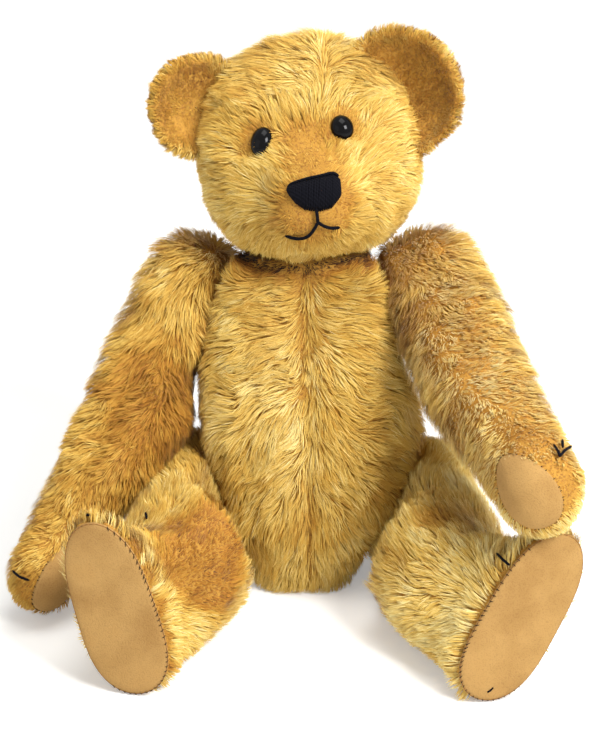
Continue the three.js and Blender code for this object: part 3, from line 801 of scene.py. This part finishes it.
# Worn places of each limb: pixel, radius in millimetres, share of length left, shade
RUBBED_STRIP = [(134, 552), (146, 580), (154, 610), (160, 640), (163, 665)]
WORN = {
    "arm_left": [((554, 492), 14, 0.2, 0.42), ((412, 318), 14, 0.75, 0.62), ((402, 262), 18, 0.8, 0.64)],
    "arm_right": [((170, 402), 38, 0.8, 0.42), ((120, 480), 20, 0.75, 0.55), ((40, 590), 14, 0.4, 0.5)],
    "leg_right": [
        ((208, 556), 32, 0.36, 0.33),
        *[(pixel, 6, 0.4, 0.46) for pixel in RUBBED_STRIP],
    ],
    "leg_left": [((440, 520), 12, 0.7, 0.6)],
}
SHOULDER_SWELL = {"arm_left": 4.5 * MM, "arm_right": 2.5 * MM}
ELBOW_SWELL = {"arm_left": 2.5 * MM, "arm_right": 10 * MM}
PILE_LENGTH = {"arm_left": 6.8, "arm_right": 8.0, "leg_left": 8.4, "leg_right": 8.0}
PILE_SHADE = {"arm_left": 0.83, "arm_right": 0.69, "leg_left": 0.83, "leg_right": 0.78}
STRANDS = {"torso": 57000, "head": 58000, "ear": 9500, "arm": 33000, "leg": 40000}

limb_skins = {}
for limb, joint in LIMBS.items():
    kind, side = limb.split("_")
    pad = f"paw_pad_{side}" if kind == "arm" else f"sole_pad_{side}"
    hinge = "shoulder" if kind == "arm" else "hip"
    nodes = [f"{limb}_outer_panel", f"{limb}_inner_panel", f"{limb}_stuffing"]
    fill = [f"{hinge}_{side}_outer_disc", f"{hinge}_{side}_outer_washer"]
    if kind == "arm":
        fill.append(pad)

    def plump(points, normals, joint=joint, most=SHOULDER_SWELL.get(limb, 0)):
        """The upper arm swells away from the body."""
        reach = joint.reach(points)
        upper = most * (1 - ease(reach, 30 * MM, 130 * MM)) * ease(normals @ joint.out, -0.2, 0.6)
        top = min(most, 3 * MM) * (1 - ease(reach, 5 * MM, 35 * MM)) * ease(normals[:, 2], 0.2, 0.8)
        return upper + top

    def elbow(points, normals, joint=joint, most=ELBOW_SWELL.get(limb, 0)):
        """The elbow swells towards the body."""
        reach = joint.reach(points)
        bend = ease(reach, 38 * MM, 72 * MM) * (1 - ease(reach, 95 * MM, 135 * MM))
        return most * bend * ease(-(normals @ joint.out), 0, 0.7)

    limb_skins[limb] = wrap(f"{limb}_cloth", nodes, fill, limb, [joint], shape=plump, swell=elbow)


for skin in (torso, head, *limb_skins.values()):
    against = [torso] if skin is not torso else [head, *limb_skins.values()]
    skin.measure_room(against)
for ear in ears.values():
    ear.measure_room([])

# Heights on the torso over which the painted shadow under the chin darkens the pile
CHIN_SHADOW_FOOT = torso.seen_at(CHIN_SHADOW_PIXELS["foot"])[0].z
CHIN_SHADOW_TOP = torso.seen_at(CHIN_SHADOW_PIXELS["top"])[0].z


def torso_shade(points, normals):
    """Straw, darker along the seam, and with painted shadow under the chin."""
    tone = 0.74 + 0.1 * mottle(points, 24 * MM, 22) + 0.07 * mottle(points, 6 * MM, 23)
    tone -= 0.09 * np.exp(-((off_seam(points) / (1.6 * MM)) ** 2))
    # Painted shadow under the chin
    return tone - 0.52 * ease(points[:, 2], CHIN_SHADOW_FOOT, CHIN_SHADOW_TOP)


def torso_flow(points, normals):
    """The pile parts at the seam and lies outwards and down."""
    side = np.tanh(off_seam(points) / (6 * MM))
    high = ease(points[:, 2], 30 * MM, 150 * MM)
    front = ease(-normals[:, 1], -0.5, 0.3)
    flow = np.zeros_like(points)
    flow[:, 0] = side * (0.5 + 0.7 * high) * (0.25 + 0.75 * front)
    flow[:, 2] = -(1.0 - 0.4 * high * front)
    from_seam = np.abs(off_seam(points))
    flow[:, 2] += 2.2 * ease(points[:, 2], 152 * MM, 164 * MM) * ease(from_seam, 16 * MM, 30 * MM)
    return flow


def torso_length(points, normals):
    """Long, and shorter under the chin."""
    at_chin = ease(points[:, 2], CHIN_SHADOW_FOOT, CHIN_SHADOW_TOP)
    return (9.6 + 2.0 * mottle(points, 30 * MM, 21)) * (1 - 0.5 * at_chin) * MM


grow_pile(
    "torso_pile",
    torso,
    STRANDS["torso"],
    torso_flow,
    torso_length,
    lambda p, n: np.where((p[:, 2] < 1 * MM) | (np.abs(off_seam(p)) < 0.7 * MM), 0.1, 1),
    torso_shade,
    curl=0.75,
)

# Head: clipped from the bridge down round the nose, and long elsewhere
CLIPPED_LINE = [np.array(head.seen_at(pixel)[0]) for pixel in CLIPPED_PIXELS]
CLIPPED_REACH = [9 * MM, 12 * MM, 17 * MM]
MUZZLE = CLIPPED_LINE[-1]
EYE_CLEARINGS = [np.array(head.seen_at((EYE_PIXELS["right"][0] - 3, EYE_PIXELS["right"][1]))[0])]
EYE_CLEARINGS.append(np.array(head.seen_at(EYE_PIXELS["left"])[0]))
PARTING = head.seen_at(PARTING_PIXEL)[0][0]
LASHES = EYE_CLEARINGS[0] + np.array([8.5, -1, 1]) * MM


def lashes(points):
    """1 where the pile of the bridge falls over the right eye's inner half."""
    return 1 - ease(apart(points, LASHES), 3 * MM, 6.5 * MM)


def clipped(points):
    """1 on the clipped part of the face, and 0 off it."""
    edge = np.full(len(points), 1.0)
    for place, reach in zip(CLIPPED_LINE, CLIPPED_REACH):
        edge = np.minimum(edge, apart(points, place) - reach)
    return 1 - ease(edge + 1.5 * MM * mottle(points, 6 * MM, 34), -5 * MM, 8 * MM)


def from_eyes(points):
    """How far the points lie from the nearer eye."""
    return np.minimum(*(apart(points, place) for place in EYE_CLEARINGS))


def head_flow(points, normals):
    """The pile lies away from the muzzle and hangs a little, and is parted over the forehead."""
    away = apart(points, MUZZLE)
    flow = unit(points - MUZZLE)
    flow[:, 2] -= 0.3 * ease(away, 20 * MM, 60 * MM)
    parted = 0.85 * ease(points[:, 2] - EYE_CLEARINGS[1][2], 2 * MM, 26 * MM)
    parted *= ease(-normals[:, 1], -0.6, 0.2)
    side = np.tanh((points[:, 0] - PARTING) / (7 * MM))
    sideways = np.stack([side, np.zeros(len(points)), 0.1 - 0.55 * np.abs(side)], axis=1)
    flow = flow * (1 - parted)[:, None] + sideways * parted[:, None]
    over_eye = lashes(points)[:, None]
    return flow * (1 - over_eye) + np.array([-1, 0, -0.1]) * over_eye


def head_length(points, normals):
    """Clipped on the face, short at the eyes, longest on the cheeks and crown."""
    at_eye = np.where(points[:, 0] > EYE_CLEARINGS[0][0], 0.62, 0.3) * (points[:, 0] < PARTING - 8 * MM)
    at_eye = np.maximum(at_eye, 0.3)
    grown = at_eye + (1 - at_eye) * ease(from_eyes(points), 5 * MM, 17 * MM)
    full = (9.0 + 1.6 * mottle(points, 20 * MM, 31)) * grown
    short = clipped(points)
    return np.maximum(full * (1 - short) + 1.3 * short, 8 * lashes(points)) * MM


def head_density(points, normals):
    """Thin on the clipped part, and none over the eyes."""
    bare = inside(points, normals, NOSE_TOP + NOSE_FOOT[::-1])
    off_eyes = 0.01 + 0.99 * ease(from_eyes(points), 5.4 * MM, 6.4 * MM)
    return (1 - bare) * (1 - 0.45 * clipped(points)) * off_eyes


def head_shade(points, normals):
    """Worn orange where it is clipped, straw elsewhere, and painted shade in the hollows round the eyes."""
    tone = 0.77 + 0.08 * mottle(points, 18 * MM, 32) + 0.06 * mottle(points, 5 * MM, 33)
    # Painted shade in the hollows round the eyes
    painted_eye_shade = 1 - ease(from_eyes(points), 5.5 * MM, 12 * MM)
    return tone - 0.27 * clipped(points) * (1 + 0.3 * mottle(points, 5 * MM, 35)) - 0.28 * painted_eye_shade


def head_root(points, normals):
    """Where along its painted root shade a strand starts: later at the back, where strands are seen end on.
    """
    return 0.02 + 0.3 * ease(normals[:, 1], -0.2, 0.5)


grow_pile(
    "head_pile", head, STRANDS["head"], head_flow, head_length, head_density, head_shade, root=head_root
)

# Ears: brown and worn in the cup, with a fringe at the rim
for side, ear in ears.items():
    low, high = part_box(f"ear_{side}_back")
    ear_middle = (np.array(low) + np.array(high)) / 2
    head_low, head_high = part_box("head_stuffing")
    ear_reach = unit((ear_middle - (np.array(head_low) + np.array(head_high)) / 2)[None])[0]

    def ear_flow(points, normals):
        """Outwards to the rim."""
        return unit(points - ear_middle) + ear_reach * 0.6

    def ear_cup(points, normals):
        """1 inside the cup and 0 at its rim and behind."""
        rim = apart(points, ear_middle)
        return ease(-normals[:, 1], 0.2, 0.7) * (1 - ease(rim, 0.62 * rim.max(), 0.85 * rim.max()))

    grow_pile(
        f"ear_{side}_pile",
        ear,
        STRANDS["ear"],
        ear_flow,
        lambda p, n: (5.0 - 2.4 * ear_cup(p, n) + 1.2 * mottle(p, 7 * MM, 41)) * MM,
        lambda p, n: 1 - 0.2 * ear_cup(p, n),
        lambda p, n: 0.7 - 0.2 * ear_cup(p, n) + 0.13 * mottle(p, 10 * MM, 42) + 0.07 * mottle(p, 4 * MM, 43),
        width=0.36 * MM,
        tuft=2 * MM,
        lock=5 * MM,
    )


# Paws and soles: rings of share outwards and millimetres above the cloth
PAD_CORNERS = 72
PAD_RINGS = [(0.25, 1.1), (0.5, 1.1), (0.72, 1.1), (0.88, 1.0), (0.97, 0.8), (1.0, 0.3), (1.0, -1.0)]
SOLE_CORNERS = 96
SOLE_RINGS = [(0.2, 0.7), (0.4, 0.68), (0.6, 0.6), (0.76, 0.5), (0.88, 0.3), (0.96, 0.0), (1.0, -0.5)]
SOLE_RINGS += [(1.012, -1.3), (0.98, -2.3)]

stitch_lines = {limb: [] for limb in LIMBS}
rim_lines = {}
pad_masks = {}


def disc_faces(count, rings):
    """Faces of a closed round piece: a middle corner, rings of corners, and a middle behind."""
    faces = []
    last = 1 + (rings - 1) * count
    for i in range(count):
        j = (i + 1) % count
        faces.append((0, 1 + i, 1 + j))
        for k in range(rings - 1):
            a, b = 1 + k * count + i, 1 + k * count + j
            faces.append((a, a + count, b + count, b))
        faces.append((last + i, last + count, last + j))
    return faces


def add_paw_pad(side):
    """A felt pad let into the inside of the paw, and its stitches."""
    limb = f"arm_{side}"
    skin, pad = limb_skins[limb], PAW_PADS[side]
    middle, facing = (np.array(value) for value in skin.seen_at(pad["middle"]))
    up = np.array(skin.seen_at(pad["upper_end"])[0]) - middle
    up -= facing * up.dot(facing)
    up /= np.linalg.norm(up)
    sideways = np.cross(up, facing)
    start = middle - facing * PAD_FLATNESS

    def on_paw(across, rise, lift):
        """A point over the paw's cloth, at a place on the pad."""
        aim = Vector(facing * PAD_FLATNESS + sideways * across + up * rise).normalized()
        point = skin.tree.ray_cast(Vector(start), aim)[0]
        return point + aim * lift

    outline = []
    for i in range(PAD_CORNERS):
        angle = 2 * math.pi * i / PAD_CORNERS
        narrow = 1 - 0.2 * math.sin(angle)
        outline.append((math.cos(angle) * pad["width"] / 2 * narrow, math.sin(angle) * pad["length"] / 2))
    corners = [on_paw(0, 0, 1.1 * MM)]
    for share, lift in PAD_RINGS:
        corners += [on_paw(x * share, y * share, lift * MM) for x, y in outline]
    corners.append(on_paw(0, 0, -1.0 * MM))
    faces = disc_faces(PAD_CORNERS, len(PAD_RINGS))
    piece = add_piece(f"paw_{side}_felt", corners, faces, FELT_CLOTH, limb)
    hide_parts(f"paw_pad_{side}")
    edge = [on_paw(x, y, 0) for x, y in outline]
    around = sum((edge[i] - edge[i - 1]).length for i in range(PAD_CORNERS))
    stitches = int(around / STITCH_STEP)
    for k in range(stitches):
        x, y = outline[int(k * PAD_CORNERS / stitches)]
        inner = on_paw(x * 0.93, y * 0.96, 1.1 * MM)
        over = on_paw(x, y, 1.0 * MM)
        outer = on_paw(x * 1.05, y * 1.03, 0.7 * MM)
        stitch_lines[limb].append([inner, over, outer])
    pad_masks[limb] = (start, facing, sideways, up, pad)


def in_paw_pad(limb, points):
    """1 on the paw's pad and 0 off it."""
    if limb not in pad_masks:
        return np.zeros(len(points))
    start, facing, sideways, up, pad = pad_masks[limb]
    offset = points - start
    ahead = offset @ facing
    across = offset @ sideways / np.maximum(ahead, 1e-6) * PAD_FLATNESS
    rise = offset @ up / np.maximum(ahead, 1e-6) * PAD_FLATNESS
    narrow = 1 - 0.2 * rise / (pad["length"] / 2)
    reach = (across / (pad["width"] / 2 * narrow)) ** 2 + (rise / (pad["length"] / 2)) ** 2
    return np.where((ahead > 0) & (reach < 1.0), 1.0, 0.0)


def add_sole(side):
    """A felt sole over the end of the leg, and its stitches."""
    limb = f"leg_{side}"
    node = f"sole_pad_{side}"
    facing = Vector(sole_mount(side)[1]).normalized()
    points = [v.co.copy() for v in frame["nodes"][node].data.vertices]
    level = max(point.dot(facing) for point in points)
    face = [point for point in points if point.dot(facing) > level - 0.2 * MM]
    middle = sum(face, Vector()) / len(face)
    right = facing.orthogonal().normalized()
    up = facing.cross(right)

    def bearing(point):
        """The point's angle round the sole."""
        return math.atan2((point - middle).dot(up), (point - middle).dot(right))

    ring = []
    for point in sorted((p for p in face if (p - middle).length > 15 * MM), key=bearing):
        if not ring or (point - ring[-1]).length > 1.5 * MM:
            ring.append(point)
    curve = sorted(smooth_line(ring, 8, closed=True), key=bearing)
    even = np.linspace(-math.pi, math.pi, SOLE_CORNERS, endpoint=False)
    reaches = [(point - middle).length for point in curve]
    radii = np.interp(even, [bearing(point) for point in curve], reaches, period=2 * math.pi)
    for _ in range(12):
        radii = (np.roll(radii, 1) + 2 * radii + np.roll(radii, -1)) / 4
    outline = [middle + (right * math.cos(t) + up * math.sin(t)) * (r * 1.02) for t, r in zip(even, radii)]
    corners = [middle + facing * 0.7 * MM]
    for share, height in SOLE_RINGS:
        corners += [middle + (point - middle) * share + facing * height * MM for point in outline]
    corners.append(middle - facing * 2.3 * MM)
    for corner in corners:
        corner.z = max(corner.z, FELT_REST)
    faces = disc_faces(SOLE_CORNERS, len(SOLE_RINGS))
    piece = add_piece(f"sole_{side}_felt", corners, faces, FELT_CLOTH, limb)
    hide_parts(node)
    # A thread round the sole's edge: the seam, and painted shadow in its crease
    rim = [point - facing * 0.55 * MM for point in outline + outline[:2]]
    rim_lines[limb] = [[above_floor(point) for point in rim]]
    distance = 0
    for i in range(SOLE_CORNERS):
        edge, after = outline[i], outline[(i + 1) % SOLE_CORNERS]
        distance += (after - edge).length
        if distance < STITCH_STEP:
            continue
        distance = 0
        away = (edge - middle).normalized()
        if away.x * (1 if side == "right" else -1) < -0.1:
            continue
        lean = (after - edge).normalized() * 0.5 * MM
        stitch = [
            edge - away * 0.8 * MM + facing * 0.25 * MM - lean,
            edge + away * 0.1 * MM - facing * 0.1 * MM,
            edge + away * 0.3 * MM - facing * 1.2 * MM + lean,
        ]
        stitch_lines[limb].append([above_floor(point) for point in stitch])


for side in ("left", "right"):
    add_paw_pad(side)
    add_sole(side)


def limb_pile(limb):
    """The limb's pile lies towards its end, worn where it was held and rubbed."""
    joint, skin = LIMBS[limb], limb_skins[limb]
    worn = [(np.array(skin.seen_at(spot[0])[0]), spot[1] * MM, *spot[2:]) for spot in WORN[limb]]

    def wear(points, spot):
        """1 in the middle of a worn place and 0 off it."""
        place, radius = spot[0], spot[1]
        distance = apart(points, place) * (1 + 0.3 * mottle(points, 9 * MM, 51))
        return 1 - ease(distance, radius * 0.55, radius * 1.1)

    def flow(points, normals):
        """Down the arm, and outwards round the leg's end."""
        if limb.startswith("arm"):
            return np.tile(joint.along, (len(points), 1)) * 0.3 + 0.4 * joint.out - np.array([0, 0, 0.9])
        lie = np.tile(joint.along, (len(points), 1)) * -0.2 + 0.3 * joint.out + np.array([0, 0, 0.5])
        reach = joint.reach(points)
        centre = joint.place + np.outer(reach, joint.along) + joint.out * 18 * MM
        fanned = unit(points - centre) + 0.25 * np.array([0, 0, 1.0]) - 0.5 * joint.along
        at_sole = ease(reach, 0, 115 * MM)[:, None]
        return lie * (1 - at_sole) + fanned * at_sole

    def length(points, normals):
        """Longest at the shoulder, short at the paw and where it is worn."""
        reach = joint.reach(points)
        size = PILE_LENGTH[limb] * (1 + 0.2 * mottle(points, 22 * MM, 52))
        if limb.startswith("arm"):
            shorter = 1.45 - 0.45 * ease(reach, 10 * MM, 110 * MM)
            size = size * (shorter - 0.4 * ease(reach, 110 * MM, 160 * MM))
        for spot in worn:
            size = size * (1 - (1 - spot[2]) * wear(points, spot))
        return size * MM

    def shade(points, normals):
        """Patchy, and another shade where it is worn."""
        tone = PILE_SHADE[limb] + 0.1 * mottle(points, 26 * MM, 53) + 0.06 * mottle(points, 6 * MM, 54)
        for spot in worn:
            amount = wear(points, spot)
            tone = tone * (1 - amount) + (spot[3] + 0.04 * mottle(points, 4 * MM, 55)) * amount
        return tone

    def density(points, normals):
        """None under the felt."""
        amount = 1 - in_paw_pad(limb, points)
        if limb.startswith("leg"):
            place, axis = sole_mount(limb.split("_")[1])
            ahead = (points - np.array(place)) @ np.array(axis)
            amount = amount * (ahead < -3.6 * MM)
        return amount

    # Limb strands start partway along the painted root shade, so that they look lighter seen end on
    looks = {"lift": 0.75, "root": 0.14, "width": 0.5 * MM}
    grow_pile(f"{limb}_pile", skin, STRANDS[limb[:3]], flow, length, density, shade, **looks)


for limb in LIMBS:
    limb_pile(limb)
    claws = limb_skins[limb].threads_at(CLAW_LINES[limb], CLAW_LIFT[limb[:3]])
    add_tubes(f"{limb}_claws", claws, CLAW_THREAD, SOOT, limb)
    # The sole's seam thread, which also stands for painted shadow in its crease
    if limb in rim_lines:
        add_tubes(f"{limb}_seam", rim_lines[limb], RIM_THREAD, SEAM_AND_SHADOW, limb)
    add_tubes(f"{limb}_stitches", stitch_lines[limb], STITCH_THREAD, BROWN, limb)


def add_slit():
    """A slit worn in the felt of the left sole."""
    place, axis = sole_mount("left")
    facing = Vector(axis).normalized()
    slit = []
    for pixel in SLIT_PIXELS:
        ray = pixel_ray(*pixel)
        far = (Vector(place) - EYE_POINT).dot(facing) / ray.dot(facing)
        slit.append(EYE_POINT + ray * far + facing * SLIT_LIFT)
    add_tubes("sole_left_slit", [smooth_line(slit, 4)], SLIT_THREAD, SOOT, "leg_left")


add_slit()

# Hidden pieces keep their shape
for name, node in frame["nodes"].items():
    if name.endswith("_disc"):
        look = BOARD_LOOK
    elif name.endswith(("_washer", "_split_pin")):
        look = STEEL_LOOK
    else:
        continue
    node.data.materials.clear()
    node.data.materials.append(look)


def seen_strength(tree, unseen, shown):
    """One strength for light on the bear, and another where the camera, or a reflection, sees it."""
    path = tree.nodes.new("ShaderNodeLightPath")
    total = path.outputs["Is Camera Ray"]
    for kind in ("Is Glossy Ray", "Is Transmission Ray"):
        either = tree.nodes.new("ShaderNodeMath")
        either.operation = "MAXIMUM"
        tree.links.new(total, either.inputs[0])
        tree.links.new(path.outputs[kind], either.inputs[1])
        total = either.outputs[0]
    strength = tree.nodes.new("ShaderNodeMapRange")
    tree.links.new(total, strength.inputs["Value"])
    preset(strength, {"To Min": unseen, "To Max": shown})
    return strength.outputs["Result"]


# A wide pale floor that keeps the bear's shadow, and glows more from FAR_FLOOR metres on
FLOOR_REACH = 30
FLOOR_LIGHT = 0.3
FAR_FLOOR_LIGHT = 0.66
FAR_FLOOR = (0.8, 2.2)

floor_points = [(x, y, 0) for y in (-FLOOR_REACH, FLOOR_REACH) for x in (-FLOOR_REACH, FLOOR_REACH)]
floor_mesh = bpy.data.meshes.new("floor")
floor_mesh.from_pydata(floor_points, [], [(0, 1, 3, 2)])
floor = placed("floor", floor_mesh)
paper, tree, shader = new_material("pale_paper", 0.95, 0.1)
shader.inputs["Base Color"].default_value = linear(PAPER)
on_floor = tree.nodes.new("ShaderNodeTexCoord")
away = tree.nodes.new("ShaderNodeVectorMath")
away.operation = "LENGTH"
tree.links.new(on_floor.outputs["Object"], away.inputs[0])
fade = tree.nodes.new("ShaderNodeMapRange")
preset(fade, {"From Min": FAR_FLOOR[0], "From Max": FAR_FLOOR[1]})
preset(fade, {"To Min": FLOOR_LIGHT, "To Max": FAR_FLOOR_LIGHT})
tree.links.new(away.outputs["Value"], fade.inputs["Value"])
glow = tree.nodes.new("ShaderNodeEmission")
lit = seen_strength(tree, 0, 1)
tree.links.new(fade.outputs["Result"], lit.node.inputs["To Max"])
tree.links.new(lit, glow.inputs["Strength"])
both = tree.nodes.new("ShaderNodeAddShader")
tree.links.new(shader.outputs["BSDF"], both.inputs[0])
tree.links.new(glow.outputs["Emission"], both.inputs[1])
tree.links.new(both.outputs["Shader"], tree.nodes["Material Output"].inputs["Surface"])
floor_mesh.materials.append(paper)


LAMP_TARGET = Vector((0, -20, 120)) * MM
WORLD_LIGHT = 0.42


def add_lamp(name, place, size, power):
    """A square soft box that faces the bear."""
    lamp = bpy.data.lights.new(name, "AREA")
    lamp.size = size
    lamp.energy = power
    box = placed(name, lamp)
    box.location = Vector(place)
    aim = LAMP_TARGET - box.location
    box.rotation_euler = aim.to_track_quat("-Z", "Y").to_euler()


add_lamp("key", (0.85, -1.0, 1.25), 0.6, 35)
add_lamp("fill", (-1.1, -0.9, 0.8), 1.0, 2)
add_lamp("top", (0.1, -0.1, 1.6), 0.8, 10)

world = bpy.data.worlds.new("room")
world.use_nodes = True
background = world.node_tree.nodes["Background"]
background.inputs["Color"].default_value = (1, 1, 1, 1)
world.node_tree.links.new(seen_strength(world.node_tree, WORLD_LIGHT, 1), background.inputs["Strength"])
scene.world = world

camera_data = bpy.data.cameras.new("camera")
camera_data.sensor_fit = "VERTICAL"
camera_data.sensor_height = SENSOR
camera_data.lens = FOCAL_PIXELS * SENSOR / PHOTO_SIZE[1]
camera_data.clip_start = 0.05
camera_data.clip_end = 60
camera = placed("camera", camera_data)
camera.location = EYE_POINT
camera.rotation_euler = FORWARD.to_track_quat("-Z", "Y").to_euler()
scene.camera = camera
scene.view_settings.view_transform = "Standard"
